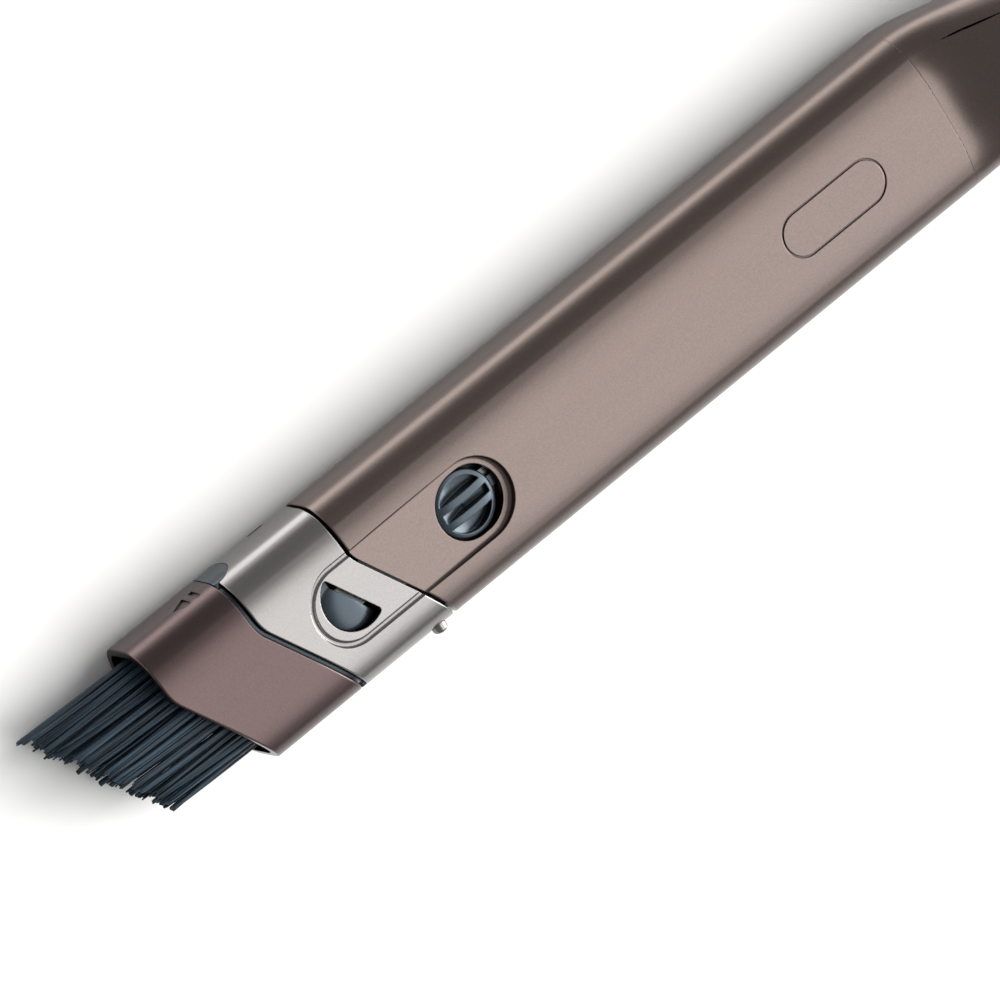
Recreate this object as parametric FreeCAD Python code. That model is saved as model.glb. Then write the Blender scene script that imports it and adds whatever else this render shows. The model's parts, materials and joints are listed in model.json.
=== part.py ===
"""Combination crevice and brush tool of a vacuum cleaner.

A long flat-oval duct ends in a round socket for the wand. On its other end sits a head of two modules:
a collar that carries the slim crevice nozzle, and a brush head that goes over the nozzle. A round button
in the duct lets go of the collar, and a half-moon button in the collar lets go of the brush head.

Millimetres. The origin is the centre of the wand socket's mouth, on its axis. +X runs along the tool
towards the wand, so the brush is at -X. +Z points out of the face with the buttons. The tool lies on its
flat back at Z = FLOOR_Z. Most heights are depths below the flat top face.
"""

import FreeCAD
import Part
import math
import os

Vector = FreeCAD.Vector

# ---- Driving dimensions -------------------------------------------------------------------------

SOCKET_RADIUS = 16.0
SOCKET_LENGTH = 26.5
CUFF_RADIUS = 18.5
CUFF_LENGTH = 30.0

BODY_WIDTH = 43.2
BODY_HEIGHT = 24.0
TOP_FLAT = 11.0
TOP_BLEND_RADIUS = 24.0
TOP_SHOULDER_DROP = 5.0
SHOULDER_RADIUS = 9.5
BACK_FLAT = 12.0
BACK_SHOULDER_RISE = 4.2
BACK_CORNER_RADIUS = 5.0
BACK_BLEND_RADIUS = 8.0
DUCT_WALL = 2.0
NECK_FRONT_WALL = 3.1
NECK_REAR_WALL = 1.6
HEAD_WALL = 1.8

TUBE_SEAM = -252.0
COLLAR_LENGTH = 27.9
COVER_LENGTH = 27.5
BRISTLE_LENGTH = 19.2
SEAM_SLOPE = 0.6
SEAM_BEND_Y = 8.6
SEAM_BEND_RADIUS = 9.0
SEAM_GAP = 0.8
FLANGE_THICKNESS = 1.1
FLANGE_SINK = 1.2

TRACK_RADIUS = 10.3
TRACK_SHALLOW = 0.8
TRACK_DEEP = 2.3
TRACK_FILLET = 1.1
GROOVE_DEPTH = 1.15
GROOVE_ROUND = 0.86
HEAD_BUTTON_RADIUS = 8.15
HEAD_BUTTON_DOME = 25.0
HEAD_BUTTON_EDGE_DEPTH = 2.8
BRUSH_BUTTON_RADIUS = 8.2
BRUSH_BUTTON_DOME = 16.0
BRUSH_BUTTON_EDGE_DEPTH = 2.9

# ---- Places that follow from them ---------------------------------------------------------------

FLOOR_Z = -CUFF_RADIUS
TOP_Z = FLOOR_Z + BODY_HEIGHT
HALF_WIDTH = BODY_WIDTH / 2

NECK_FRONT = -CUFF_LENGTH - 40.0
NECK_REAR = -CUFF_LENGTH - 8.0
BRUSH_SEAM = TUBE_SEAM - COLLAR_LENGTH
MOUTH = BRUSH_SEAM - COVER_LENGTH
BRISTLE_TIPS = MOUTH - BRISTLE_LENGTH

HEAD_BUTTON_WELL_X = TUBE_SEAM + 32.7
HEAD_BUTTON_X = HEAD_BUTTON_WELL_X - 1.6
HEAD_BUTTON_WELL_RADIUS = HEAD_BUTTON_RADIUS + 0.25
COLLAR_TRACK_X = TUBE_SEAM - 6.4
BRUSH_BUTTON_CENTRE = (TUBE_SEAM - 4.6, 0.9)
BADGE_X = TUBE_SEAM + 146.0
BADGE_LENGTH = 31.2
BADGE_WIDTH = 11.5

STRIKE_X = TUBE_SEAM + 10.6
STRIKE_REACH = 3.0
BAY_PAD_DEPTH = 4.0
BAY_PAD_FRONT = STRIKE_X + STRIKE_REACH + 0.9
BAY_REAR_X = HEAD_BUTTON_X + 26.0
TRAY_DEPTH = 7.8
TRAY_THICKNESS = 1.2

SPIGOT_TOP = TRAY_DEPTH + TRAY_THICKNESS + 0.2
SPIGOT_REAR_X = TUBE_SEAM + 25.0
NOZZLE_WIDTH = 28.2
NOZZLE_HEIGHT = 12.2
NOZZLE_WALL = 1.4
NOZZLE_MOUTH = BRUSH_SEAM - 20.0

FAR = 400.0
FIT = 0.1


# ---- Helpers ------------------------------------------------------------------------------------

def rounded_wire(points, place):
    """A closed wire through corners (u, v, radius), each rounded by a tangent arc."""
    corners = []
    count = len(points)
    for i, (u, v, radius) in enumerate(points):
        here = Vector(u, v, 0)
        to_last = Vector(points[i - 1][0], points[i - 1][1], 0) - here
        to_next = Vector(points[(i + 1) % count][0], points[(i + 1) % count][1], 0) - here
        to_last.normalize()
        to_next.normalize()
        if radius <= 0:
            corners.append((here, None, here))
            continue
        half_angle = to_last.getAngle(to_next) / 2
        reach = radius / math.tan(half_angle)
        inward = to_last + to_next
        inward.normalize()
        middle = here + inward * (radius / math.sin(half_angle) - radius)
        corners.append((here + to_last * reach, middle, here + to_next * reach))
    edges = []
    for i, (start, middle, end) in enumerate(corners):
        if middle is not None:
            edges.append(Part.Arc(place(start), place(middle), place(end)).toShape())
        next_start = corners[(i + 1) % count][0]
        if (next_start - end).Length > 1e-4:
            edges.append(Part.makeLine(place(end), place(next_start)))
    return Part.Wire(edges)


def inset_corners(points, inset):
    """The same convex outline, drawn counter-clockwise, moved inward by inset."""
    moved = []
    count = len(points)
    for i, (u, v, radius) in enumerate(points):
        last_u, last_v = points[i - 1][:2]
        next_u, next_v = points[(i + 1) % count][:2]
        a = Vector(u - last_u, v - last_v, 0)
        b = Vector(next_u - u, next_v - v, 0)
        a.normalize()
        b.normalize()
        inward_a = Vector(-a.y, a.x, 0)
        inward_b = Vector(-b.y, b.x, 0)
        shift = (inward_a + inward_b) * (inset / (1 + inward_a.dot(inward_b)))
        moved.append((u + shift.x, v + shift.y, max(radius - inset, 0.4)))
    return moved


def mirrored(half):
    """A whole outline from its +Y half, which runs from the top down to the back."""
    other = [(-y, z, radius) for y, z, radius in reversed(half)]
    return list(reversed(half + other))


def body_corners(inset=0.0):
    """The duct's flat-oval section: a flat top, long round shoulders, upright sides and a flat back."""
    half = [
        (TOP_FLAT, TOP_Z, TOP_BLEND_RADIUS),
        (HALF_WIDTH, TOP_Z - TOP_SHOULDER_DROP, SHOULDER_RADIUS),
        (HALF_WIDTH, FLOOR_Z + BACK_SHOULDER_RISE, BACK_CORNER_RADIUS),
        (BACK_FLAT, FLOOR_Z, BACK_BLEND_RADIUS),
    ]
    return inset_corners(mirrored(half), inset)


def neck_corners(share, inset=0.0):
    """The section at a share of the neck, from the flat oval at 0 to the socket's circle at 1."""
    ease = share * share * (3 - 2 * share)
    side = CUFF_RADIUS * math.tan(math.pi / 8)
    bend = CUFF_RADIUS * 0.98
    circle = mirrored([
        (side, CUFF_RADIUS, bend),
        (CUFF_RADIUS, side, bend),
        (CUFF_RADIUS, -side, bend),
        (side, -CUFF_RADIUS, bend),
    ])
    blend = [
        tuple(a + (b - a) * ease for a, b in zip(start, end))
        for start, end in zip(body_corners(), circle)
    ]
    return inset_corners(blend, inset)


def in_section(x):
    """Places outline corners (Y, Z) on the plane at x."""
    return lambda p: Vector(x, p.x, p.y)


def in_plan(z):
    """Places outline corners (X, Y) on the level z."""
    return lambda p: Vector(p.x, p.y, z)


def prism(wire, direction):
    return Part.Face(wire).extrude(direction)


def body_prism(inset, front_x=-FAR, rear_x=0.0):
    return prism(rounded_wire(body_corners(inset), in_section(front_x)), Vector(rear_x - front_x, 0, 0))


def box(x, y, depth):
    """A block from three (low, high) pairs; depth is measured down from the top face."""
    corner = Vector(x[0], y[0], TOP_Z - depth[1])
    return Part.makeBox(x[1] - x[0], y[1] - y[0], depth[1] - depth[0], corner)


def upright_cylinder(x, y, radius, depth):
    """A cylinder along Z between two depths."""
    return Part.makeCylinder(radius, depth[1] - depth[0], Vector(x, y, TOP_Z - depth[1]))


def behind_seam(front):
    """All space on the wand's side of a seam. The seam is square to the tool on the left of the bend,
    where it stands at X = front, and slants back to the right of it."""
    reach = 60.0
    outline = [
        (front, reach, 0),
        (front, SEAM_BEND_Y, SEAM_BEND_RADIUS),
        (front + SEAM_SLOPE * (SEAM_BEND_Y + reach), -reach, 0),
        (FAR, -reach, 0),
        (FAR, reach, 0),
    ]
    return prism(rounded_wire(outline, in_plan(-reach)), Vector(0, 0, 2 * reach))


def between_seams(front, rear):
    return behind_seam(front).cut(behind_seam(rear))


def behind_tips():
    """All space on the wand's side of the bristles' tips, which end on one straight slant."""
    reach = 60.0
    outline = [
        (BRISTLE_TIPS - SEAM_SLOPE * reach, reach, 0),
        (BRISTLE_TIPS + SEAM_SLOPE * reach, -reach, 0),
        (FAR, -reach, 0),
        (FAR, reach, 0),
    ]
    return prism(rounded_wire(outline, in_plan(-reach)), Vector(0, 0, 2 * reach))


def seam_x(front, y):
    return front + SEAM_SLOPE * max(0.0, SEAM_BEND_Y - y)


def stadium(front_x, rear_x, radius, depth):
    """An upright slot with round ends centred at front_x and rear_x."""
    length = max(rear_x - front_x, 0.01)
    middle = box((front_x, front_x + length), (-radius, radius), depth)
    ends = [upright_cylinder(x, 0, radius, depth) for x in (front_x, rear_x)]
    return middle.fuse(ends).removeSplitter()


def above_ramp(front_x, front_depth, rear_x, rear_depth):
    """All space above a plane that slopes along X between two depths."""
    slope = (rear_depth - front_depth) / (rear_x - front_x)
    start, end = front_x - 60, rear_x + 60
    profile = [
        (start, TOP_Z - front_depth + slope * 60, 0),
        (end, TOP_Z - rear_depth - slope * 60, 0),
        (end, TOP_Z + 40, 0),
        (start, TOP_Z + 40, 0),
    ]
    wire = rounded_wire(profile, lambda p: Vector(p.x, -60, p.y))
    return prism(wire, Vector(0, 120, 0))


def oblong_prism(corners, front_x, rear_x):
    return prism(rounded_wire(corners, in_section(front_x)), Vector(rear_x - front_x, 0, 0))


SCREW_HEAD_RADIUS = 2.2
SCREW_RADIUS = 1.0


def countersunk_screw(x, y, head_depth, length):
    """A small screw driven upward, its head at head_depth and its tip length above that."""
    z = TOP_Z - head_depth
    head = Part.makeCone(SCREW_HEAD_RADIUS, SCREW_RADIUS, 1.2, Vector(x, y, z))
    shank = Part.makeCylinder(SCREW_RADIUS, length - 1.2, Vector(x, y, z + 1.2))
    cross = [
        Part.makeBox(2.4, 0.5, 0.6, Vector(x - 1.2, y - 0.25, z)),
        Part.makeBox(0.5, 2.4, 0.6, Vector(x - 0.25, y - 1.2, z)),
    ]
    return head.fuse(shank).cut(cross[0]).cut(cross[1])


def screw_hole(x, y, head_depth, length):
    """The hole that countersunk_screw sits in."""
    z = TOP_Z - head_depth
    head = Part.makeCone(SCREW_HEAD_RADIUS + 0.08, SCREW_RADIUS + 0.05, 1.25, Vector(x, y, z - 0.01))
    shank = Part.makeCylinder(SCREW_RADIUS + 0.05, length + 0.3, Vector(x, y, z))
    return head.fuse(shank)


def soften_ends(shape, fronts, radius):
    """Rounds the outer edges where the skin meets the seams that start at the given X values."""
    reach = HALF_WIDTH + 1
    chosen = []
    for edge in shape.Edges:
        points = edge.discretize(5)
        for front in fronts:
            nearby = Part.makeBox(FAR, 2 * reach, 60, Vector(front - 1, -reach, -30))
            seam = behind_seam(front).common(nearby)
            face_gap = max(seam.Shells[0].distToShape(Part.Vertex(p))[0] for p in points)
            skin_gap = max(OUTER_SKIN.distToShape(Part.Vertex(p))[0] for p in points)
            if face_gap < 0.01 and skin_gap < 0.01:
                chosen.append(edge)
                break
    return shape.makeFillet(radius, chosen)


OUTER_SKIN = body_prism(0.0).Shells[0]


def save(name, shape):
    """Writes one sub-part, after a check that it is sound."""
    if not shape.isValid() or shape.Volume <= 0:
        raise ValueError(f"{name} is not a sound solid")
    shape.exportStep(f"parts/{name}.step")
    print(f"{name:22s} solids {len(shape.Solids)}  volume {shape.Volume:9.1f} mm3")


# ---- Duct ---------------------------------------------------------------------------------------

def duct_outer():
    return body_prism(0.0, rear_x=NECK_FRONT).common(behind_seam(TUBE_SEAM))


def duct_inner():
    return body_prism(DUCT_WALL, rear_x=NECK_FRONT)


def duct_track():
    """The sunk panel that leads a thumb to the round button, deepest at its round end."""
    channel = stadium(TUBE_SEAM - 30, HEAD_BUTTON_WELL_X, TRACK_RADIUS, (-5, 8))
    ramp = above_ramp(TUBE_SEAM, TRACK_SHALLOW, HEAD_BUTTON_WELL_X + TRACK_RADIUS, TRACK_DEEP)
    channel = channel.common(ramp)
    floor = min(channel.Faces, key=lambda face: face.CenterOfMass.z)
    return channel.makeFillet(TRACK_FILLET, floor.Edges)


def badge_groove():
    """A blank oblong outline, engraved."""
    reach = (BADGE_LENGTH - BADGE_WIDTH) / 2
    radius = BADGE_WIDTH / 2
    outer = stadium(BADGE_X - reach, BADGE_X + reach, radius, (-1, 0.4))
    inner = stadium(BADGE_X - reach, BADGE_X + reach, radius - 0.5, (-1, 0.4))
    return outer.cut(inner)


def bay_pad():
    """The thick part of the top wall round the button well."""
    pad = box((BAY_PAD_FRONT, BAY_REAR_X), (-13.5, 13.5), (DUCT_WALL / 2, BAY_PAD_DEPTH))
    return pad.common(body_prism(0.3))


def button_well():
    """The hole for the round button, a little longer than the button on the wand's side."""
    return stadium(HEAD_BUTTON_X - 0.05, HEAD_BUTTON_WELL_X, HEAD_BUTTON_WELL_RADIUS, (-1, 8))


def tray_screw_places():
    front, rear = HEAD_BUTTON_X - 9.5, BAY_REAR_X - 4.0
    return [(x, y) for x in (front, rear) for y in (11.0, -11.0)]


def tray_boss(x, y):
    """A post under the duct's face that takes a tray screw."""
    return upright_cylinder(x, y, 2.3, (DUCT_WALL, TRAY_DEPTH - 0.05)).common(body_prism(1.0))


LEAF_SCREW_X = BAY_REAR_X - 6.0


def duct_shells():
    """The two mouldings of the duct, parted low on its sides."""
    wall = duct_outer().cut(duct_inner()).fuse(bay_pad())
    wall = wall.cut(duct_track()).cut(badge_groove()).cut(button_well())
    for x, y in tray_screw_places():
        wall = wall.fuse(tray_boss(x, y)).cut(upright_cylinder(x, y, 1.05, (3.0, TRAY_DEPTH)))
    wall = wall.cut(upright_cylinder(LEAF_SCREW_X, 0, 1.05, (1.2, BAY_PAD_DEPTH + 1)))
    parting = Part.makeBox(FAR, 80, 40, Vector(-FAR, -40, FLOOR_Z + 3.6 - 40))
    upper = wall.cut(parting)
    lower = wall.common(parting)
    return upper, lower


# ---- Neck ---------------------------------------------------------------------------------------

def neck_loft(front_inset, rear_inset):
    """A smooth body from the flat oval to the round end, which runs straight for its last stretch."""
    steps = 8
    wires = []
    for i in range(steps + 1):
        share = i / steps
        x = NECK_FRONT + (NECK_REAR - NECK_FRONT) * share
        inset = front_inset + (rear_inset - front_inset) * share
        wires.append(rounded_wire(neck_corners(share, inset), in_section(x)))
    for x in ((NECK_REAR - CUFF_LENGTH) / 2, -CUFF_LENGTH):
        wires.append(rounded_wire(neck_corners(1.0, rear_inset), in_section(x)))
    return Part.makeLoft(wires, True, False)


def neck():
    """The moulding between the flat duct and the round cuff, with a lip that goes into the duct."""
    wall = neck_loft(0.0, 0.0).cut(neck_loft(NECK_FRONT_WALL, NECK_REAR_WALL))
    ends = (NECK_FRONT - 5.0, NECK_FRONT)
    lip = body_prism(DUCT_WALL + FIT, *ends).cut(body_prism(NECK_FRONT_WALL - FIT, *ends))
    return wall.fuse(lip)


# ---- Wand cuff ----------------------------------------------------------------------------------

def ring_about_x(profile):
    """Turns a closed profile of (x, radius) corners about the X axis."""
    points = [Vector(x, 0, r) for x, r in profile]
    face = Part.Face(Part.makePolygon(points + points[:1]))
    return face.revolve(Vector(0, 0, 0), Vector(1, 0, 0), 360)


WASHER_RADIUS = SOCKET_RADIUS - 0.5
WASHER_HOLE_RADIUS = SOCKET_RADIUS - 1.3
WASHER_THICKNESS = 1.5


def wand_cuff():
    """A socket for the wand, with a spigot that goes into the neck's round end and shallow grip rings."""
    spigot_radius = CUFF_RADIUS - DUCT_WALL - FIT
    cuff = ring_about_x([
        (-CUFF_LENGTH - 7.5, spigot_radius),
        (-CUFF_LENGTH, spigot_radius),
        (-CUFF_LENGTH, CUFF_RADIUS),
        (-0.8, CUFF_RADIUS),
        (0, CUFF_RADIUS - 0.8),
        (0, SOCKET_RADIUS),
        (-SOCKET_LENGTH, SOCKET_RADIUS),
        (-SOCKET_LENGTH, WASHER_RADIUS),
        (-SOCKET_LENGTH - WASHER_THICKNESS, WASHER_RADIUS),
        (-SOCKET_LENGTH - WASHER_THICKNESS, WASHER_HOLE_RADIUS),
        (-CUFF_LENGTH - 7.5, WASHER_HOLE_RADIUS),
    ])
    for i in range(6):
        x = -CUFF_LENGTH + 6.5 + i * 2.6
        cuff = cuff.cut(ring_about_x([
            (x - 0.6, CUFF_RADIUS + 1),
            (x - 0.6, CUFF_RADIUS - 0.5),
            (x + 0.6, CUFF_RADIUS - 0.5),
            (x + 0.6, CUFF_RADIUS + 1),
        ]))
    return cuff


def cuff_washer():
    """The rubber ring at the bottom of the socket, in a seat of its own."""
    rear = -SOCKET_LENGTH - 0.05
    front = -SOCKET_LENGTH - WASHER_THICKNESS
    return ring_about_x([
        (front, WASHER_HOLE_RADIUS),
        (rear, WASHER_HOLE_RADIUS),
        (rear, WASHER_RADIUS - 0.05),
        (front, WASHER_RADIUS - 0.05),
    ])


# ---- Latch bay under the round button -----------------------------------------------------------

TRAY_SCREW_LENGTH = 5.4


def latch_tray():
    """The ceiling of the air path, which closes the latch bay off from it."""
    slab = box((TUBE_SEAM, BAY_REAR_X), (-25, 25), (TRAY_DEPTH, TRAY_DEPTH + TRAY_THICKNESS))
    tray = slab.common(body_prism(DUCT_WALL + FIT)).common(behind_seam(TUBE_SEAM + 1.5))
    end_wall = box((BAY_REAR_X - 1.4, BAY_REAR_X), (-25, 25), (0, TRAY_DEPTH + TRAY_THICKNESS))
    end_wall = end_wall.common(body_prism(DUCT_WALL + FIT))
    end_wall = end_wall.cut(box((BAY_REAR_X - 2, BAY_REAR_X + 1), (-13.6, 13.6), (0, BAY_PAD_DEPTH + FIT)))
    tray = tray.fuse(end_wall)
    for x, y in tray_screw_places():
        tray = tray.cut(screw_hole(x, y, TRAY_DEPTH + TRAY_THICKNESS, TRAY_SCREW_LENGTH))
    return tray


def tray_screws():
    head_depth = TRAY_DEPTH + TRAY_THICKNESS
    return Part.makeCompound([
        countersunk_screw(x, y, head_depth, TRAY_SCREW_LENGTH) for x, y in tray_screw_places()
    ])


LEAF_DEPTH = BAY_PAD_DEPTH + 1.1
LEAF_THICKNESS = 0.5


def head_catch_leaf():
    """A spring-steel leaf, screwed down behind the button, that hooks into the collar's tongue."""
    level = (LEAF_DEPTH, LEAF_DEPTH + LEAF_THICKNESS)
    blade = box((STRIKE_X - 0.8, HEAD_BUTTON_X + 12.5), (-3.5, 3.5), level)
    rise = box((HEAD_BUTTON_X + 12.0, HEAD_BUTTON_X + 12.5), (-3.5, 3.5), (BAY_PAD_DEPTH, level[1]))
    tail = box((HEAD_BUTTON_X + 12.0, BAY_REAR_X - 2.2), (-3.5, 3.5),
               (BAY_PAD_DEPTH, BAY_PAD_DEPTH + LEAF_THICKNESS))
    nose = box((STRIKE_X - 0.8, STRIKE_X + 0.8), (-2.5, 2.5), (2.6, LEAF_DEPTH))
    leaf = blade.fuse([rise, tail, nose]).removeSplitter()
    return leaf.cut(upright_cylinder(LEAF_SCREW_X, 0, 1.1, (0, 12)))


def leaf_screw():
    """A pan-head screw that holds the leaf's tail against the pad."""
    under = BAY_PAD_DEPTH + LEAF_THICKNESS
    head = upright_cylinder(LEAF_SCREW_X, 0, 2.1, (under, under + 1.2))
    head = head.cut(box((LEAF_SCREW_X - 1.6, LEAF_SCREW_X + 1.6), (-0.3, 0.3), (under + 0.6, under + 2)))
    shank = upright_cylinder(LEAF_SCREW_X, 0, 1.0, (1.5, under))
    return head.fuse(shank)


# ---- Round button -------------------------------------------------------------------------------

RIB_WIDTH = 1.9
RIB_Y = 2.1
BUTTON_RIM = 1.35
SLOT_FLOOR_RADIUS = 20.0
SLOT_FLOOR_DEPTH = 4.6


def dome(x, y, edge_radius, edge_depth, sphere_radius):
    """A ball whose surface is at edge_depth at edge_radius from the vertical line through x, y."""
    rise = math.sqrt(sphere_radius ** 2 - edge_radius ** 2)
    return Part.makeSphere(sphere_radius, Vector(x, y, TOP_Z - edge_depth - rise))


def finger_slots():
    """Three slots along the tool, parted by two ribs. Their scooped floors are deepest near the wand."""
    depth = (-2, 6)
    bowl = upright_cylinder(HEAD_BUTTON_X, 0, HEAD_BUTTON_RADIUS - BUTTON_RIM, depth)
    for side in (-1, 1):
        rib = (side * RIB_Y - RIB_WIDTH / 2, side * RIB_Y + RIB_WIDTH / 2)
        bowl = bowl.cut(box((HEAD_BUTTON_X - 10, HEAD_BUTTON_X + 10), rib, depth))
    start = Vector(HEAD_BUTTON_X + 3.0, -10, TOP_Z - SLOT_FLOOR_DEPTH + SLOT_FLOOR_RADIUS)
    return bowl.common(Part.makeCylinder(SLOT_FLOOR_RADIUS, 20, start, Vector(0, 1, 0)))


def head_button():
    """The round button, domed, with a half flange and a lug under the pad that keep it in its well."""
    stem = upright_cylinder(HEAD_BUTTON_X, 0, HEAD_BUTTON_RADIUS, (1, BAY_PAD_DEPTH + 1))
    ball = dome(HEAD_BUTTON_X, 0, HEAD_BUTTON_RADIUS, HEAD_BUTTON_EDGE_DEPTH, HEAD_BUTTON_DOME)
    stem = stem.common(ball)
    rim_z = TOP_Z - HEAD_BUTTON_EDGE_DEPTH
    rim_edges = [e for e in stem.Edges if e.BoundBox.ZMin > rim_z - 0.1 and e.Closed]
    stem = stem.makeFillet(0.5, rim_edges)
    level = (BAY_PAD_DEPTH + 0.1, BAY_PAD_DEPTH + 1.0)
    reach = HEAD_BUTTON_WELL_RADIUS + 0.9
    flange = upright_cylinder(HEAD_BUTTON_X, 0, reach, level)
    flange = flange.cut(box((HEAD_BUTTON_X - 3, HEAD_BUTTON_X + 20), (-20, 20), level))
    lug = box((HEAD_BUTTON_X, HEAD_BUTTON_WELL_X + reach), (-1.5, 1.5), level)
    return stem.cut(finger_slots()).fuse([flange, lug])


# ---- Collar module ------------------------------------------------------------------------------

def head_band(front, rear, wall):
    """A hollow length of the head's skin between two seams."""
    return body_prism(0.0).cut(body_prism(wall)).common(between_seams(front, rear))


def collar_track():
    """The round end of the sunk panel, with the half-round groove that edges it."""
    rear = TUBE_SEAM + 30
    middle = TRACK_RADIUS - GROOVE_ROUND
    z = TOP_Z - GROOVE_DEPTH + GROOVE_ROUND
    panel = stadium(COLLAR_TRACK_X, rear, middle, (-1, TRACK_SHALLOW - 0.2))
    bend = Part.makeTorus(middle, GROOVE_ROUND, Vector(COLLAR_TRACK_X, 0, z))
    bend = bend.common(Part.makeBox(40, 60, 10, Vector(COLLAR_TRACK_X - 40, -30, z - 5)))
    starts = [Vector(COLLAR_TRACK_X, y, z) for y in (middle, -middle)]
    length = rear - COLLAR_TRACK_X
    runs = [Part.makeCylinder(GROOVE_ROUND, length, start, Vector(1, 0, 0)) for start in starts]
    return panel.fuse([bend] + runs)


def half_moon(radius, chord_shift, depth):
    """The half-moon button's outline: a disc cut by a chord parallel to the slanted seam."""
    x, y = BRUSH_BUTTON_CENTRE
    disc = upright_cylinder(x, y, radius, depth)
    slant = math.hypot(1, SEAM_SLOPE)
    chord_x = x + SEAM_SLOPE * y + chord_shift * slant
    far = 60.0
    outline = [
        (chord_x - SEAM_SLOPE * far, far, 0),
        (chord_x + SEAM_SLOPE * far, -far, 0),
        (chord_x + SEAM_SLOPE * far - FAR, -far, 0),
        (chord_x - SEAM_SLOPE * far - FAR, far, 0),
    ]
    side = prism(rounded_wire(outline, in_plan(-60)), Vector(0, 0, 120))
    moon = disc.common(side)
    upright = [e for e in moon.Edges if e.BoundBox.ZLength > 0.9 * (depth[1] - depth[0])
               and e.BoundBox.XLength < 0.01 and e.BoundBox.YLength < 0.01]
    corners = [e for e in upright if abs((e.Vertexes[0].X - chord_x) + SEAM_SLOPE * e.Vertexes[0].Y) < 0.05]
    return moon.makeFillet(0.9, corners) if len(corners) == 2 else moon


TAB_RADIUS = 5.6
TAB_DEPTH = 13.5
NUB_RADIUS = 1.9
NUB_DEPTH = 8.0
NUB_PROUD = 1.1


def side_tab(side, clearance):
    """A half-round tab on one side of the head, centred on the brush seam."""
    centre_x = seam_x(BRUSH_SEAM, side * HALF_WIDTH)
    start = Vector(centre_x, side * (HALF_WIDTH - 3.2), TOP_Z - TAB_DEPTH)
    return Part.makeCylinder(TAB_RADIUS + clearance, 4.0, start, Vector(0, side, 0))


def grip_nub():
    """A small rounded lug high on the right side, near the duct."""
    x = seam_x(TUBE_SEAM, -HALF_WIDTH) - 5.9
    start = Vector(x, -HALF_WIDTH + 1.9, TOP_Z - NUB_DEPTH)
    nub = Part.makeCylinder(NUB_RADIUS, NUB_PROUD + 1.9, start, Vector(0, -1, 0))
    rim = [e for e in nub.Edges if e.Closed and e.BoundBox.Center.y < -HALF_WIDTH]
    return nub.makeFillet(1.0, rim)


def side_slot():
    """A faint slot low on the left side, near the duct, that a thumbnail can find."""
    radius = 0.7
    z = TOP_Z - 17.5
    ends = (TUBE_SEAM - 12.0, TUBE_SEAM - 8.5)
    y = HALF_WIDTH - 0.5
    round_ends = [Part.makeCylinder(radius, 1.0, Vector(x, y, z), Vector(0, 1, 0)) for x in ends]
    middle = Part.makeBox(ends[1] - ends[0], 1.0, 2 * radius, Vector(ends[0], y, z - radius))
    return middle.fuse(round_ends)


SCREW_HEAD_DEPTH = BODY_HEIGHT - 0.3
COLLAR_SCREW_LENGTH = 2.9


def collar_screw_places():
    return [(seam_x(TUBE_SEAM, y) - 7.5, y) for y in (8.0, -8.0)]


def back_screw_recess(x, y, length):
    """A screw's hole in the flat back, with room for the head to sit below the face."""
    head_room = upright_cylinder(x, y, 2.3, (SCREW_HEAD_DEPTH, BODY_HEIGHT + 1))
    return screw_hole(x, y, SCREW_HEAD_DEPTH, length).fuse(head_room)


def collar_shell():
    collar = head_band(BRUSH_SEAM, TUBE_SEAM - SEAM_GAP, HEAD_WALL)
    collar = soften_ends(collar, [BRUSH_SEAM, TUBE_SEAM - SEAM_GAP], 0.35)
    collar = collar.cut(collar_track())
    collar = collar.cut(half_moon(BRUSH_BUTTON_RADIUS + 0.2, 0.2, (-1, 5)))
    for side in (-1, 1):
        collar = collar.cut(side_tab(side, 0.15))
    collar = collar.fuse(grip_nub()).cut(side_slot())
    for x, y in collar_screw_places():
        collar = collar.cut(back_screw_recess(x, y, COLLAR_SCREW_LENGTH))
    return collar


def spigot_corners(inset):
    """The outline of the nozzle's rear end, which goes into the duct under the latch tray."""
    top_z = TOP_Z - SPIGOT_TOP
    lower = [corner for corner in body_corners(DUCT_WALL + 0.15) if corner[0] > 0 and corner[1] < top_z]
    lower.sort(key=lambda corner: -corner[1])
    half = [(lower[0][0], top_z, 1.5)] + lower
    return inset_corners(mirrored(half), inset)


def nozzle_corners(inset):
    """The outline of the slim nozzle, with as many corners as the spigot's."""
    z = TOP_Z - BODY_HEIGHT / 2
    half = [
        (NOZZLE_WIDTH / 2, z + NOZZLE_HEIGHT / 2, 3.5),
        (NOZZLE_WIDTH / 2, z - NOZZLE_HEIGHT / 4, 3.0),
        (NOZZLE_WIDTH / 2 - 4.0, z - NOZZLE_HEIGHT / 2, 4.0),
    ]
    return inset_corners(mirrored(half), inset)


FUNNEL_REAR = TUBE_SEAM - 1.0
FUNNEL_FRONT = TUBE_SEAM - 10.0


def nozzle_solid(inset):
    """Spigot, funnel and slim nozzle in one."""
    spigot = oblong_prism(spigot_corners(inset), FUNNEL_REAR, SPIGOT_REAR_X)
    funnel = Part.makeLoft([
        rounded_wire(nozzle_corners(inset), in_section(FUNNEL_FRONT)),
        rounded_wire(spigot_corners(inset), in_section(FUNNEL_REAR)),
    ], True, True)
    slim = oblong_prism(nozzle_corners(inset), -FAR, FUNNEL_FRONT)
    return spigot.fuse([funnel, slim])


TONGUE_HALF_WIDTH = 6.0


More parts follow.
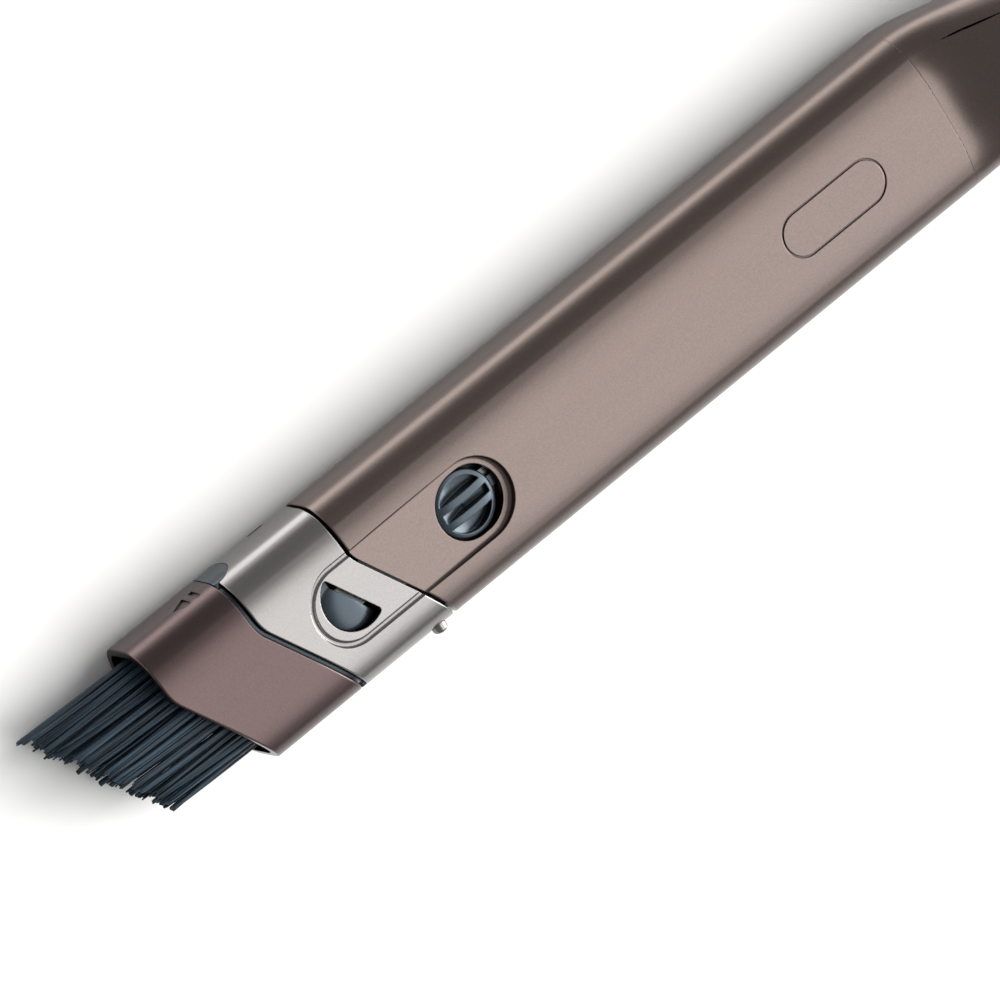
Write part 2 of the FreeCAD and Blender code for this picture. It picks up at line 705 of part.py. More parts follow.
def crevice_nozzle():
    """The collar's core: the air path, the flange that carries the collar and the tongue for the catch."""
    flange = body_prism(HEAD_WALL + 0.05).common(between_seams(TUBE_SEAM - 3.4, TUBE_SEAM - 1.2))
    tongue = box((TUBE_SEAM, STRIKE_X + STRIKE_REACH), (-TONGUE_HALF_WIDTH, TONGUE_HALF_WIDTH), (2.2, 3.6))
    tongue = tongue.common(behind_seam(TUBE_SEAM - 1.6))
    bosses = [
        upright_cylinder(x, y, 2.8, (BODY_HEIGHT / 2 + 3, BODY_HEIGHT - HEAD_WALL - 0.05))
        for x, y in collar_screw_places()
    ]
    bosses = [b.common(body_prism(HEAD_WALL + 0.05)) for b in bosses]
    bore = nozzle_solid(NOZZLE_WALL)
    core = nozzle_solid(0.0).fuse([flange, tongue] + bosses).common(behind_seam(NOZZLE_MOUTH))
    core = core.cut(bore)
    core = core.cut(box((STRIKE_X - 1.3, STRIKE_X + 1.3), (-3.0, 3.0), (0, 4.5)))
    core = core.cut(box((TUBE_SEAM - 4, TUBE_SEAM + 6), (-3.6, 3.6),
                        (BRUSH_LEAF_DEPTH - 0.05, BRUSH_LEAF_DEPTH + LEAF_THICKNESS + 0.05)))
    for x, y in collar_screw_places():
        core = core.cut(screw_hole(x, y, SCREW_HEAD_DEPTH, COLLAR_SCREW_LENGTH - 0.15))
    return core.cut(seal_band(0.9))


def seal_band(depth):
    """A ring round the spigot's rear end, sunk into it by depth."""
    ends = (SPIGOT_REAR_X - 4.0, SPIGOT_REAR_X - 2.2)
    outer = oblong_prism(spigot_corners(-0.5), *ends)
    return outer.cut(oblong_prism(spigot_corners(depth), *ends))


def spigot_seal():
    """The rubber ring in the spigot's groove, a little proud of it."""
    ends = (SPIGOT_REAR_X - 3.95, SPIGOT_REAR_X - 2.25)
    return oblong_prism(spigot_corners(-0.08), *ends).cut(oblong_prism(spigot_corners(0.85), *ends))


def collar_screws():
    return Part.makeCompound([
        countersunk_screw(x, y, SCREW_HEAD_DEPTH, COLLAR_SCREW_LENGTH) for x, y in collar_screw_places()
    ])


# ---- Half-moon button ---------------------------------------------------------------------------

BRUSH_LEAF_DEPTH = 3.6
BRUSH_STRIKE_X = seam_x(BRUSH_SEAM, 0) + 3.05


def brush_button():
    """The half-moon button, domed, with a flange under the collar's wall along its round side."""
    moon = half_moon(BRUSH_BUTTON_RADIUS, -0.8, (0, BRUSH_LEAF_DEPTH - 0.1))
    x, y = BRUSH_BUTTON_CENTRE
    shift = BRUSH_BUTTON_RADIUS * 0.35
    ball = dome(x - shift, y - shift / 2, BRUSH_BUTTON_RADIUS, BRUSH_BUTTON_EDGE_DEPTH, BRUSH_BUTTON_DOME)
    moon = moon.common(ball)
    flange = upright_cylinder(x, y, BRUSH_BUTTON_RADIUS + 1.0, (HEAD_WALL + 0.1, BRUSH_LEAF_DEPTH - 0.1))
    flange = flange.common(body_prism(HEAD_WALL + 0.15)).common(box((-FAR, x - 3.5), (-20, 20), (0, 5)))
    return moon.fuse(flange)


def brush_catch_leaf():
    """A spring-steel leaf, held in a slot of the nozzle's flange, that hooks the brush carrier."""
    level = (BRUSH_LEAF_DEPTH, BRUSH_LEAF_DEPTH + 0.4)
    rear = seam_x(TUBE_SEAM, 0) - 1.3
    blade = box((BRUSH_STRIKE_X - 0.7, rear), (-3.5, 3.5), level).cut(behind_seam(TUBE_SEAM - 1.25))
    nose = box((BRUSH_STRIKE_X - 0.7, BRUSH_STRIKE_X + 0.7), (-1.5, 1.5), (2.2, level[0]))
    return blade.fuse(nose).removeSplitter()


# ---- Brush head ---------------------------------------------------------------------------------

COVER_REAR = BRUSH_SEAM - FLANGE_THICKNESS - 0.3
SLEEVE_BACK = 6.0
SLEEVE_FRONT = 7.0
SLEEVE_WALL = 1.3


def triangle_mark(side):
    """A small triangle and bar, engraved in the side of the cover, that show which way it goes on."""
    rear = seam_x(BRUSH_SEAM, side * HALF_WIDTH)
    z = TOP_Z - 10.0
    start_y = side * (HALF_WIDTH - 0.4)
    corners = [(rear - 8.0, z + 2.6), (rear - 8.0, z - 2.6), (rear - 12.5, z)]
    points = [Vector(x, start_y, height) for x, height in corners]
    triangle = Part.Face(Part.makePolygon(points + points[:1])).extrude(Vector(0, side * 2, 0))
    bar = Part.makeBox(1.2, 2.0, 5.2, Vector(rear - 6.2, min(start_y, start_y + side * 2), z - 2.6))
    return triangle.fuse(bar)


COVER_SCREW_LENGTH = 4.2


def cover_screw_places():
    return [(seam_x(BRUSH_SEAM, y) - 5.0, y) for y in (8.5, -8.5)]


def brush_cover():
    cover = head_band(MOUTH, COVER_REAR, HEAD_WALL)
    cover = soften_ends(cover, [MOUTH, COVER_REAR], 0.4)
    for side in (-1, 1):
        cover = cover.cut(triangle_mark(side))
    for x, y in cover_screw_places():
        cover = cover.cut(back_screw_recess(x, y, COVER_SCREW_LENGTH))
    return cover


def ring_between(outer_inset, hole, front, rear):
    return body_prism(outer_inset).cut(hole).common(between_seams(front, rear))


def nozzle_clearance(room):
    return oblong_prism(nozzle_corners(-room), -FAR, 0)


def brush_carrier():
    """The core of the brush head: a flange that shows in the seam, two side tabs and two sleeves."""
    rear = BRUSH_SEAM - 0.15
    front = rear - FLANGE_THICKNESS
    flange = ring_between(FLANGE_SINK, body_prism(HEAD_WALL + FIT + SLEEVE_WALL), front, rear)
    sleeve = ring_between(HEAD_WALL + 0.15, body_prism(HEAD_WALL + 0.15 + SLEEVE_WALL),
                          BRUSH_SEAM - SLEEVE_FRONT, BRUSH_SEAM + SLEEVE_BACK)
    carrier = flange.fuse(sleeve)
    skin = body_prism(0.05).cut(body_prism(HEAD_WALL + 0.5))
    for side in (-1, 1):
        tab = side_tab(side, 0).common(skin).common(behind_seam(front))
        carrier = carrier.fuse(tab)
    for x, y in cover_screw_places():
        boss = upright_cylinder(x, y, 2.4, (18.8, 21.5)).common(body_prism(HEAD_WALL + 0.15))
        carrier = carrier.fuse(boss.cut(nozzle_clearance(0.4)))
    for x, y in cover_screw_places():
        carrier = carrier.cut(screw_hole(x, y, SCREW_HEAD_DEPTH, COVER_SCREW_LENGTH))
    return carrier.cut(box((BRUSH_STRIKE_X - 1.1, BRUSH_STRIKE_X + 1.1), (-1.9, 1.9), (0, 4.5)))


TUFT_REAR = BRUSH_SEAM - 9.0
TUFT_FRONT = BRUSH_SEAM - 13.0


def tuft_ring():
    """The ring that the bristles are set in."""
    return ring_between(HEAD_WALL + FIT, nozzle_clearance(0.3), TUFT_FRONT, TUFT_REAR)


def cover_screws():
    return Part.makeCompound([
        countersunk_screw(x, y, SCREW_HEAD_DEPTH, COVER_SCREW_LENGTH) for x, y in cover_screw_places()
    ])


def bristle_rows():
    """The bristles as four plain blocks that together make a ring round the nozzle."""
    ring = body_prism(HEAD_WALL + 0.6).cut(nozzle_clearance(0.7))
    ring = ring.common(behind_tips()).cut(behind_seam(TUFT_FRONT))
    side_y = NOZZLE_WIDTH / 2 - 1.5
    upper_depth = BODY_HEIGHT / 2
    whole = (-FAR, 0)
    middle = (-side_y, side_y)
    return {
        "bristle_row_upper": ring.common(box(whole, middle, (0, upper_depth))),
        "bristle_row_lower": ring.common(box(whole, middle, (upper_depth, BODY_HEIGHT))),
        "bristle_row_left": ring.common(box(whole, (side_y, 30), (0, BODY_HEIGHT))),
        "bristle_row_right": ring.common(box(whole, (-30, -side_y), (0, BODY_HEIGHT))),
    }


# ---- Everything ---------------------------------------------------------------------------------

os.makedirs("parts", exist_ok=True)

upper_shell, lower_shell = duct_shells()
save("duct_upper_shell", soften_ends(upper_shell, [TUBE_SEAM], 0.35))
save("duct_lower_shell", lower_shell)
save("neck", neck())
save("wand_cuff", wand_cuff())
save("cuff_washer", cuff_washer())
save("latch_tray", latch_tray())
save("tray_screws", tray_screws())
save("head_catch_leaf", head_catch_leaf())
save("leaf_screw", leaf_screw())
save("head_button", head_button())
save("collar_shell", collar_shell())
save("crevice_nozzle", crevice_nozzle())
save("spigot_seal", spigot_seal())
save("collar_screws", collar_screws())
save("brush_catch_leaf", brush_catch_leaf())
save("brush_button", brush_button())
save("brush_cover", brush_cover())
save("brush_carrier", brush_carrier())
save("tuft_ring", tuft_ring())
save("cover_screws", cover_screws())
for row_name, row in bristle_rows().items():
    save(row_name, row)
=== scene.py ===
"""The looks of a vacuum cleaner's combination crevice and brush tool, built round its CAD model.

The tool lies along X with its brush at -X and its buttons facing +Z. Metres throughout.
"""

import json
import math
import random

import bpy
from mathutils import Matrix, Vector


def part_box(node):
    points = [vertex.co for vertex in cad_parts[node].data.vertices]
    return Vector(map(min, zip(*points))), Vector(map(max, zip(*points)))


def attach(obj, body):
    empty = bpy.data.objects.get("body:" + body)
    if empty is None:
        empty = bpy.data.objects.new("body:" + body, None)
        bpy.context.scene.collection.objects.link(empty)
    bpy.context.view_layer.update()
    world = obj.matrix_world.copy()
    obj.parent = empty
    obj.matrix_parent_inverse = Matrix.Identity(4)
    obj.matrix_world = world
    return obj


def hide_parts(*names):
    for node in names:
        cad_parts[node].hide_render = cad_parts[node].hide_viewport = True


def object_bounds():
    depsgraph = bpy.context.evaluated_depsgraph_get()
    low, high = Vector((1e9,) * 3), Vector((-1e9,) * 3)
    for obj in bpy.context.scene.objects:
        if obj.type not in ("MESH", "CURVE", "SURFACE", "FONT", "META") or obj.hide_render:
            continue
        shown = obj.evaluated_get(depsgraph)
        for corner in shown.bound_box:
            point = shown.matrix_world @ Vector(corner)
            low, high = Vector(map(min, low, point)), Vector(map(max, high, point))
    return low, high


MM = 0.001

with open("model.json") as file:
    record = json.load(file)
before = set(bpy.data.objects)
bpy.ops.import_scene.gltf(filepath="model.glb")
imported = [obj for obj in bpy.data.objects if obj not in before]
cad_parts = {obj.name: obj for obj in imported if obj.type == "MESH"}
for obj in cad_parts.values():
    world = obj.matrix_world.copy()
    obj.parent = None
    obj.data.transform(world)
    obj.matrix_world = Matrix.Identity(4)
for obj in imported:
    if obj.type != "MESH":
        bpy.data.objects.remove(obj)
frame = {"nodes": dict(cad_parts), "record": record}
cad_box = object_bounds()
FLOOR_Z = cad_box[0].z


# ---- Material graphs ----------------------------------------------------------------------------

class Graph:
    """A material's node graph, built by plain calls."""

    def __init__(self, name):
        self.material = bpy.data.materials.new(name)
        self.material.use_nodes = True
        self.tree = self.material.node_tree
        self.shader = self.tree.nodes["Principled BSDF"]
        self.place = self.add("ShaderNodeTexCoord").outputs["Object"]

    def add(self, kind, inputs=None, **settings):
        """A node with its settings. An input is a number, a colour or another node's output."""
        node = self.tree.nodes.new(kind)
        for key, value in settings.items():
            setattr(node, key, value)
        for key, value in (inputs or {}).items():
            self.put(node, key, value)
        return node

    def put(self, node, key, value):
        socket = node.inputs[key]
        if isinstance(value, bpy.types.NodeSocket):
            self.tree.links.new(value, socket)
        else:
            socket.default_value = value

    def set(self, **inputs):
        """Sets the shader's sockets; a name's underscores stand for spaces."""
        for key, value in inputs.items():
            self.put(self.shader, key.replace("_", " "), value)

    def stretched(self, scale):
        """The piece's own coordinates, scaled along each axis."""
        return self.add("ShaderNodeMapping", {"Vector": self.place, "Scale": scale}).outputs["Vector"]

    def noise(self, scale, detail=3.0, roughness=0.5, place=None):
        inputs = {"Vector": place or self.place, "Scale": scale, "Detail": detail, "Roughness": roughness}
        return self.add("ShaderNodeTexNoise", inputs).outputs["Fac"]

    def ramp(self, value, start, end, low, high):
        """A value's range from start to end, mapped on to low to high and held there."""
        inputs = {"Value": value, "From Min": start, "From Max": end, "To Min": low, "To Max": high}
        return self.add("ShaderNodeMapRange", inputs).outputs["Result"]

    def times(self, a, b):
        return self.add("ShaderNodeMath", {0: a, 1: b}, operation="MULTIPLY").outputs[0]

    def blend(self, share, a, b):
        """Colour a turning into colour b as share goes from 0 to 1."""
        node = self.add("ShaderNodeMix", data_type="RGBA")
        for index, value in ((0, share), (6, a), (7, b)):
            self.put(node, index, value)
        return node.outputs[2]

    def bump(self, height, strength, depth, normal=None):
        inputs = {"Height": height, "Strength": strength, "Distance": depth}
        if normal is not None:
            inputs["Normal"] = normal
        return self.add("ShaderNodeBump", inputs).outputs["Normal"]

    def soft_edges(self, radius):
        """(a normal that rounds every edge off, a share that is high along edges)."""
        rounded = self.add("ShaderNodeBevel", {"Radius": radius}, samples=6).outputs["Normal"]
        flat = self.add("ShaderNodeNewGeometry").outputs["Normal"]
        facing = self.add("ShaderNodeVectorMath", {0: rounded, 1: flat}, operation="DOT_PRODUCT")
        return rounded, self.ramp(facing.outputs["Value"], 0.95, 0.75, 0.0, 1.0)

    def painted_hollow_shade(self, base, shade_colour, reach):
        """The base colour with painted shade: darkened towards the shade colour in slots, grooves and
        corners up to that deep.
        """
        shut_in = self.add("ShaderNodeAmbientOcclusion", {"Distance": reach}, samples=5).outputs["AO"]
        # Painted shade: the more shut in a spot is, the nearer its colour comes to the dark shade colour.
        return self.blend(self.ramp(shut_in, 0.35, 0.8, 0.9, 0.0), base, shade_colour)


def shade(colour, factor):
    """The colour made lighter or darker."""
    return tuple(min(1.0, c * factor) for c in colour[:3]) + (1.0,)


def warmer(colour):
    """The same shade with a little more red and less blue."""
    red, green, blue, alpha = colour
    return (min(1.0, red * 1.04), green, blue * 0.93, alpha)


def noise_scale(size):
    """The noise scale whose features are about that size."""
    return 0.5 / size


FLAKE_SCALE = 2600.0


def metallic_plastic(name, colour, metallic, roughness, edge=1.25, flake=1.0, rounding=0.3 * MM,
                     shade_reach=1.6 * MM):
    """Plastic with fine metal flakes under a smooth skin: grain, faint flow marks, rubbed edges lightened
    with a painted highlight, and painted shade in hollows. flake is the strength of the grain, and edge the
    brightness of a rubbed edge with its painted highlight."""
    g = Graph(name)
    rounded, at_edge = g.soft_edges(rounding)
    grain = g.noise(FLAKE_SCALE, 2.0)
    cloud = g.noise(noise_scale(22 * MM), 3.0, place=g.stretched((0.3, 1.0, 1.0)))
    rubbed = g.noise(noise_scale(2.5 * MM), 4.0)
    base = g.blend(g.ramp(grain, 0.32, 0.68, 0.0, 1.0), shade(colour, 1 - 0.08 * flake),
                   shade(colour, 1 + 0.10 * flake))
    base = g.blend(g.ramp(cloud, 0.35, 0.7, 0.0, 0.5), base, warmer(shade(colour, 0.96)))
    # Edges lightened in patches: part rubbed wear, part a painted highlight along every edge.
    wear_and_highlight = g.times(at_edge, g.ramp(rubbed, 0.35, 0.6, 0.25, 0.8))
    base = g.blend(wear_and_highlight, base, shade(colour, edge))
    # Painted shade: hollows darken towards 0.18 of the colour.
    base = g.painted_hollow_shade(base, shade(colour, 0.18), shade_reach)
    streaks = g.noise(noise_scale(1.2 * MM), 3.0, place=g.stretched((0.1, 1.0, 1.0)))
    g.set(Base_Color=base, Metallic=metallic, Normal=g.bump(grain, 0.05 * flake, 0.015 * MM, rounded),
          Roughness=g.ramp(streaks, 0.3, 0.7, roughness - 0.015, roughness + 0.02),
          Coat_Weight=0.04, Coat_Roughness=0.25)
    return g.material


def moulded_plastic(name, colour, roughness, grain_depth):
    """Plain moulded plastic with a fine spark-eroded grain."""
    g = Graph(name)
    rounded, at_edge = g.soft_edges(0.3 * MM)
    grain = g.noise(noise_scale(0.35 * MM), 3.0)
    cloud = g.noise(noise_scale(6 * MM), 3.0)
    base = g.blend(g.ramp(cloud, 0.35, 0.65, 0.0, 1.0), shade(colour, 0.88), shade(colour, 1.12))
    # Edges painted lighter: part edge wear, part painted highlight.
    base = g.blend(g.times(at_edge, 0.5), base, shade(colour, 1.5))
    g.set(Base_Color=base, Normal=g.bump(grain, 0.25, grain_depth, rounded),
          Roughness=g.ramp(grain, 0.3, 0.7, roughness - 0.06, roughness + 0.06))
    return g.material


def steel(name, colour, roughness):
    """Rolled or plated steel with fine draw lines along the part."""
    g = Graph(name)
    rounded = g.soft_edges(0.12 * MM)[0]
    lines = g.noise(noise_scale(0.2 * MM), 4.0, place=g.stretched((0.04, 1.0, 1.0)))
    base = g.blend(g.ramp(lines, 0.3, 0.7, 0.0, 1.0), shade(colour, 0.82), shade(colour, 1.1))
    # Painted shade: the steel goes nearly black in hollows up to 9 mm deep.
    base = g.painted_hollow_shade(base, shade(colour, 0.02), 9 * MM)
    g.set(Base_Color=base, Metallic=1.0, Normal=g.bump(lines, 0.12, 0.02 * MM, rounded),
          Roughness=g.ramp(lines, 0.3, 0.7, roughness - 0.07, roughness + 0.09))
    return g.material


def rubber(name, colour):
    """Soft black rubber with a dusty bloom."""
    g = Graph(name)
    rounded = g.soft_edges(0.2 * MM)[0]
    dust = g.noise(noise_scale(1.5 * MM), 5.0, 0.7)
    pores = g.noise(noise_scale(0.25 * MM), 2.0)
    base = g.blend(g.ramp(dust, 0.45, 0.8, 0.0, 0.35), colour, shade(colour, 3.0))
    g.set(Base_Color=base, Roughness=g.ramp(dust, 0.3, 0.7, 0.72, 0.9),
          Normal=g.bump(pores, 0.3, 0.03 * MM, rounded))
    return g.material


def bristle_nylon(name, colour):
    """Stiff nylon strands: each strand its own shade, with faint streaks along it."""
    g = Graph(name)
    strand = g.noise(noise_scale(0.9 * MM), 1.0, place=g.stretched((0.015, 1.0, 1.0)))
    streak = g.noise(noise_scale(0.22 * MM), 3.0, place=g.stretched((0.03, 1.0, 1.0)))
    nicks = g.noise(noise_scale(0.5 * MM), 3.0, place=g.stretched((0.3, 1.0, 1.0)))
    base = g.blend(g.ramp(strand, 0.35, 0.65, 0.0, 1.0), shade(colour, 0.45), shade(colour, 1.35))
    base = g.blend(g.ramp(streak, 0.4, 0.7, 0.0, 0.55), base, shade(colour, 1.9))
    g.set(Base_Color=base, Roughness=g.ramp(nicks, 0.3, 0.7, 0.38, 0.6),
          Normal=g.bump(streak, 0.5, 0.06 * MM), Specular_IOR_Level=0.25)
    return g.material


BRONZE = (0.126, 0.100, 0.093, 1.0)
DARK_BRONZE = (0.080, 0.058, 0.058, 1.0)
SILVER = (0.205, 0.199, 0.199, 1.0)
SLATE = (0.040, 0.053, 0.066, 1.0)
DARK_GREY = (0.010, 0.012, 0.015, 1.0)
NYLON = (0.015, 0.029, 0.043, 1.0)

FINISHES = {
    "bronze_plastic": metallic_plastic("bronze_plastic", BRONZE, 1.0, 0.30),
    "dark_bronze_plastic": metallic_plastic("dark_bronze_plastic", DARK_BRONZE, 1.0, 0.29, edge=1.4),
    "silver_plastic": metallic_plastic("silver_plastic", SILVER, 1.0, 0.25, edge=1.4, flake=0.6),
    # Slate: edges painted 4.2 times lighter as a highlight, and painted shade reaching 4 mm into slots.
    "slate_plastic": metallic_plastic("slate_plastic", SLATE, 0.75, 0.24, edge=4.2, flake=0.3,
                                      rounding=0.5 * MM, shade_reach=4.0 * MM),
    "inner_plastic": moulded_plastic("inner_plastic", DARK_GREY, 0.5, 0.04 * MM),
    "spring_steel": steel("spring_steel", (0.50, 0.51, 0.53, 1.0), 0.28),
    "screw_steel": steel("screw_steel", (0.38, 0.385, 0.40, 1.0), 0.34),
    "seal_rubber": rubber("seal_rubber", (0.012, 0.012, 0.013, 1.0)),
    "bristle_nylon": bristle_nylon("bristle_nylon", NYLON),
}

for subpart in frame["record"]["subparts"]:
    node = frame["nodes"][subpart["node"]]
    node.data.materials.clear()
    node.data.materials.append(FINISHES[subpart["material_slot"]])


# ---- Bristles -----------------------------------------------------------------------------------

random.seed(17)

SEAM_SLOPE = 0.6
SEAM_BEND_Y = 8.6 * MM
OUTER_INSET = 4.0 * MM
INNER_INSET = 6.2 * MM
TUFT_PITCH = 1.95 * MM
STRAND_SIDES = 8
STRAND_STATIONS = 12


def ring_outline(inset):
    """Closely spaced points (y, z) round the brush, that far inside its cover's skin."""
    low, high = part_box("brush_cover")
    half_width = (high.y - low.y) / 2
    height = high.z - low.z
    corners = [
        (0.34 * half_width, high.z - 0.03 * height),
        (0.93 * half_width, high.z - 0.50 * height),
        (half_width, low.z + 0.175 * height),
        (0.56 * half_width, low.z),
        (-0.56 * half_width, low.z),
        (-half_width, low.z + 0.175 * height),
        (-0.98 * half_width, high.z - 0.40 * height),
        (-0.46 * half_width, high.z),
    ]
    middle_z = (low.z + high.z) / 2
    shrink_y = 1 - inset / half_width
    shrink_z = 1 - inset / (height / 2)
    corners = [Vector((y * shrink_y, middle_z + (z - middle_z) * shrink_z)) for y, z in corners]
    for _ in range(3):
        cut = []
        for a, b in zip(corners, corners[1:] + corners[:1]):
            cut += [a.lerp(b, 0.25), a.lerp(b, 0.75)]
        corners = cut
    return corners


def evenly_spaced(points, pitch):
    """(point, outward normal, tangent) at even steps round a closed outline."""
    closed = points + points[:1]
    lengths = [(b - a).length for a, b in zip(closed, closed[1:])]
    count = round(sum(lengths) / pitch)
    step = sum(lengths) / count
    places = []
    index, passed = 0, 0.0
    for i in range(count):
        while passed + lengths[index] < i * step:
            passed += lengths[index]
            index += 1
        along = (closed[index + 1] - closed[index]).normalized()
        point = closed[index] + along * (i * step - passed)
        places.append((point, Vector((-along.y, along.x)), along))
    return places


class StrandMesh:
    """Gathers strands into one mesh."""

    def __init__(self):
        self.points = []
        self.faces = []

    def strand(self, path, radii, flat, turn):
        """A tube round path, wider one way than the other, with a closed rounded tip."""
        base = len(self.points)
        for centre, radius in zip(path, radii):
            for k in range(STRAND_SIDES):
                a = 2 * math.pi * k / STRAND_SIDES
                across = Vector((0, radius * math.cos(a), radius * flat * math.sin(a)))
                across.rotate(turn)
                self.points.append(centre + across)
        for i in range(len(path) - 1):
            for k in range(STRAND_SIDES):
                a = base + i * STRAND_SIDES + k
                b = base + i * STRAND_SIDES + (k + 1) % STRAND_SIDES
                self.faces.append((a, a + STRAND_SIDES, b + STRAND_SIDES, b))
        last = base + (len(path) - 1) * STRAND_SIDES
        self.faces.append(tuple(range(base + STRAND_SIDES - 1, base - 1, -1))[::-1])
        self.faces.append(tuple(range(last, last + STRAND_SIDES))[::-1])

    def made(self, name):
        mesh = bpy.data.meshes.new(name)
        mesh.from_pydata([tuple(p) for p in self.points], [], self.faces)
        mesh.update()
        mesh.shade_smooth()
        piece = bpy.data.objects.new(name, mesh)
        bpy.context.scene.collection.objects.link(piece)
        return piece


def tip_line(y):
    """Where the bristles end: one straight slant across the brush."""
    low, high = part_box("bristle_row_left")
    return low.x + SEAM_SLOPE * (high.y - y)


def root_line(y):
    """Where the bristles leave the ring that holds them."""
    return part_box("tuft_ring")[0].x + 1.0 * MM + SEAM_SLOPE * max(0.0, SEAM_BEND_Y - y)


def row_of(point):
    """The name of the CAD row that a place (y, z) in the ring belongs to."""
    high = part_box("bristle_row_upper")[1]
    if abs(point.x) > high.y:
        return "bristle_row_left" if point.x > 0 else "bristle_row_right"
    middle_z = (FLOOR_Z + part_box("brush_cover")[1].z) / 2
    return "bristle_row_upper" if point.y > middle_z else "bristle_row_lower"


def grow(mesh, start, drift, radius, flat, facing, tip_shift):
    """One strand from the ring to the tips. It drifts off its start and waves a little on the way."""
    root_x = root_line(start.x)
    tip_x = tip_line(start.x) + tip_shift
    wave = random.uniform(0.05, 0.26) * MM
    phase = random.uniform(0, 2 * math.pi)
    heading = random.uniform(0, 2 * math.pi)
    sway = Vector((math.cos(heading), math.sin(heading))) * wave
    path, radii = [], []
    for i in range(STRAND_STATIONS):
        u = i / (STRAND_STATIONS - 1)
        spot = start + drift * (u * u) + sway * (u * math.sin(phase + 5.0 * u))
        path.append(Vector((root_x + (tip_x - root_x) * u, spot.x, spot.y)))
        radii.append(radius * (1.0 - 0.2 * u))
    tip_dir = (path[-1] - path[-2]).normalized()
    end, end_radius = path[-1], radii[-1]
    for share, ahead in ((0.75, 0.4), (0.3, 0.6)):
        path.append(end + tip_dir * (end_radius * ahead))
        radii.append(end_radius * share)
    mesh.strand(path, radii, flat, Matrix.Rotation(facing, 3, "X"))


def clump(mesh, centre, outward, along):
    """One bundle: a broad strand of fused bristles with finer ones lying over it and beside it."""
    facing = math.atan2(along.y, along.x) + random.uniform(-0.35, 0.35)
    lean = Vector((random.gauss(0.7, 0.7), random.gauss(-0.9, 0.5))) * MM
    tip_shift = random.gauss(0.4, 0.7) * MM
    centre = centre + along * (random.uniform(-0.25, 0.25) * MM)
    broad = random.uniform(0.62, 0.88) * MM
    grow(mesh, centre, lean, broad, random.uniform(0.55, 0.8), facing, tip_shift)
    for _ in range(random.choice((2, 3, 3, 4))):
        beside = random.uniform(-0.75, 0.75)
        offset = along * (beside * MM) + outward * (random.uniform(0.05, 0.55) * (1 - abs(beside) / 2) * MM)
        cross = along * (random.gauss(-0.35 * beside, 0.4) * MM)
        fine = random.uniform(0.20, 0.36) * MM
        grow(mesh, centre + offset, lean + cross, fine, random.uniform(0.7, 1.0), facing,
             tip_shift + random.gauss(0.1, 0.5) * MM)


def filler(mesh, centre, outward, along):
    """A loose group of plain strands behind the outer clumps."""
    for _ in range(4):
        offset = along * (random.uniform(-0.9, 0.9) * MM) + outward * (random.uniform(-0.8, 0.8) * MM)
        drift = Vector((random.gauss(0.5, 0.4), random.gauss(-0.7, 0.3))) * MM
        grow(mesh, centre + offset, drift, random.uniform(0.26, 0.42) * MM, random.uniform(0.7, 1.0),
             random.uniform(0, math.pi), random.gauss(0.8, 0.7) * MM)


def bristles():
    """The brush's strands, one piece for each of the CAD model's four rows."""
    rows = {name: StrandMesh() for name in
            ("bristle_row_upper", "bristle_row_lower", "bristle_row_left", "bristle_row_right")}
    for bundle, inset in ((clump, OUTER_INSET), (filler, INNER_INSET)):
        for centre, outward, along in evenly_spaced(ring_outline(inset), TUFT_PITCH):
            bundle(rows[row_of(centre)], centre, outward, along)
    for row, mesh in rows.items():
        piece = mesh.made(row.replace("bristle_row", "strands"))
        piece.data.materials.append(FINISHES["bristle_nylon"])
        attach(piece, "brush_module")
        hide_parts(row)


bristles()


# ---- Floor, light and camera --------------------------------------------------------------------

FLOOR_DARK = (0.86, 0.86, 0.86, 1.0)
FLOOR_LIGHT = (0.90, 0.90, 0.90, 1.0)
FLOOR_REACH = 6.0

STRIP_LENGTH = 0.62
STRIP_WIDTH = 46 * MM
STRIP_GAP = 42 * MM
STRIP_LIFT = 2 * MM
STRIP_POWER = 0.25

ROOM_BRIGHTNESS = 0.42
ROOM_TINT = (1.0, 0.995, 0.985, 1.0)

# Each glow: the direction of its middle, its cosine at the faded edge, its cosine where it is full, and
# its brightness.
OVERHEAD_GLOW = ((0.65, -0.30, 0.70), 0.69, 0.84, 2.8)
WAND_SIDE_GLOW = ((0.88, -0.34, 0.33), 0.93, 0.98, 9.0)

LENS = 550.0
SENSOR_WIDTH = 36.0
SHOWN_WIDTH = 0.2273


def floor():
    """A plain pale studio floor."""
    g = Graph("studio_floor")
    speckle = g.noise(60.0, 4.0)
    g.set(Base_Color=g.blend(speckle, FLOOR_DARK, FLOOR_LIGHT), Roughness=0.85)
    reach = FLOOR_REACH
    mesh = bpy.data.meshes.new("studio_floor")
    square = ((-reach, -reach), (reach, -reach), (reach, reach), (-reach, reach))
    corners = [(x, y, FLOOR_Z) for x, y in square]
    mesh.from_pydata(corners, [], [(0, 1, 2, 3)])
    piece = bpy.data.objects.new("studio_floor", mesh)
    bpy.context.scene.collection.objects.link(piece)
    mesh.materials.append(g.material)


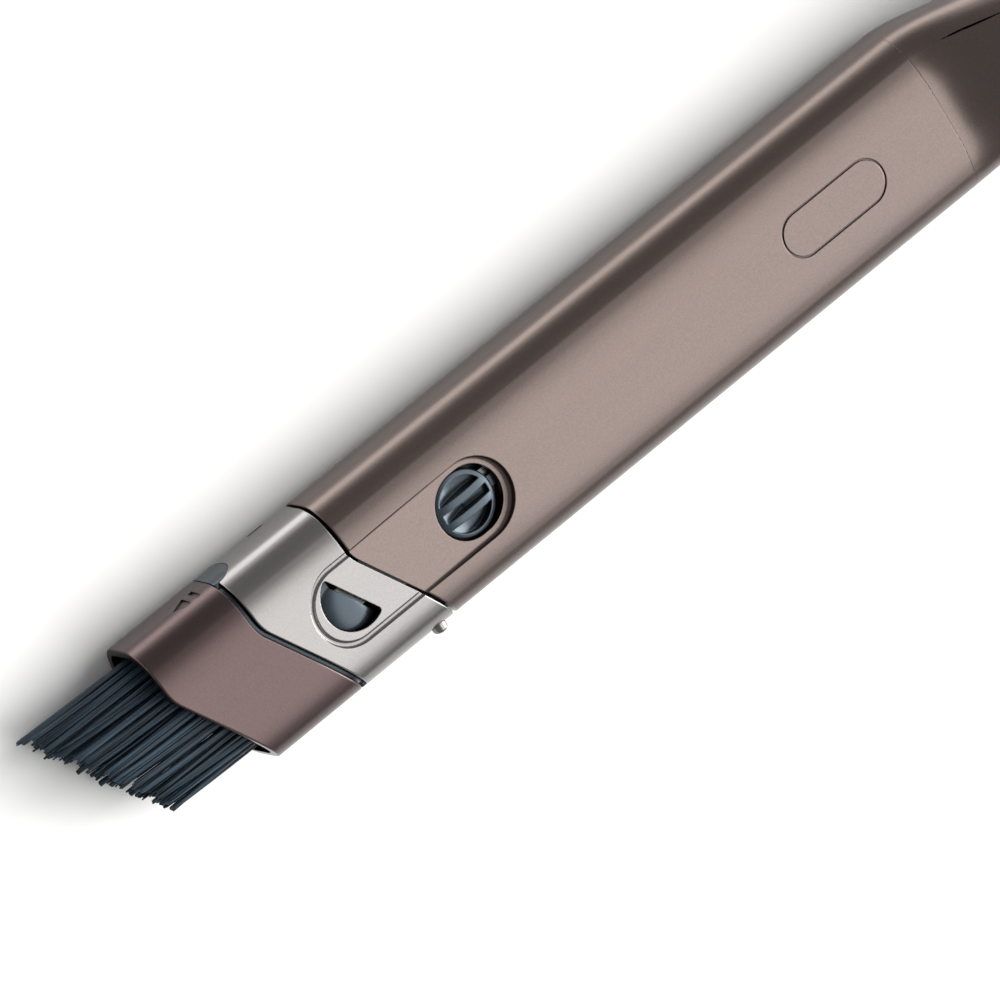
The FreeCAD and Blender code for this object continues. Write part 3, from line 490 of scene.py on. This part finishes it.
def low_strip():
    """A long narrow light that lies on the table along the tool's left side and shines up."""
    low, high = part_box("duct_upper_shell")
    data = bpy.data.lights.new("low_strip", "AREA")
    data.shape = "RECTANGLE"
    data.size, data.size_y = STRIP_LENGTH, STRIP_WIDTH
    data.energy = STRIP_POWER
    light = bpy.data.objects.new("low_strip", data)
    place = Vector(((low.x + high.x) / 2, high.y + STRIP_GAP, FLOOR_Z + STRIP_LIFT))
    light.matrix_world = Matrix.Translation(place) @ Matrix.Rotation(math.pi, 4, "X")
    light.visible_camera = False
    bpy.context.scene.collection.objects.link(light)


def studio_world():
    """A dim room with one big soft overhead light and a small bright one past the wand."""
    world = bpy.data.worlds.new("studio")
    bpy.context.scene.world = world
    world.use_nodes = True
    tree = world.node_tree

    def node(kind, *inputs, **settings):
        made = tree.nodes.new(kind)
        for key, value in settings.items():
            setattr(made, key, value)
        for index, value in enumerate(inputs):
            if isinstance(value, bpy.types.NodeSocket):
                tree.links.new(value, made.inputs[index])
            else:
                made.inputs[index].default_value = value
        return made.outputs

    look = node("ShaderNodeTexCoord")["Generated"]
    total = ROOM_BRIGHTNESS
    for towards, faded, full, brightness in (OVERHEAD_GLOW, WAND_SIDE_GLOW):
        facing = node("ShaderNodeVectorMath", look, Vector(towards).normalized(),
                      operation="DOT_PRODUCT")["Value"]
        glow = node("ShaderNodeMapRange", facing, faded, full, 0.0, brightness,
                    interpolation_type="SMOOTHSTEP")["Result"]
        total = node("ShaderNodeMath", total, glow, operation="ADD")[0]
    background = tree.nodes["Background"]
    background.inputs["Color"].default_value = ROOM_TINT
    tree.links.new(total, background.inputs["Strength"])


def camera():
    """Looks down on the buttons from the brush's end and the tool's left side, through a long lens."""
    low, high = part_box("head_button")
    aim = (low + high) / 2 + Vector((4.8, -3.6, 1.6)) * MM
    back = Vector((-0.348, 0.350, 0.870)).normalized()
    right = Vector((0.726, -0.486, 0.487)).normalized()
    up = back.cross(right)
    data = bpy.data.cameras.new("camera")
    data.lens = LENS
    data.sensor_width = SENSOR_WIDTH
    distance = SHOWN_WIDTH * LENS / SENSOR_WIDTH
    data.clip_start, data.clip_end = 0.1, 50.0
    piece = bpy.data.objects.new("camera", data)
    piece.matrix_world = Matrix.Translation(aim + back * distance) @ Matrix(
        (right, up, back)).transposed().to_4x4()
    bpy.context.scene.collection.objects.link(piece)
    bpy.context.scene.camera = piece


bpy.context.scene.view_settings.view_transform = "Standard"
floor()
studio_world()
low_strip()
camera()
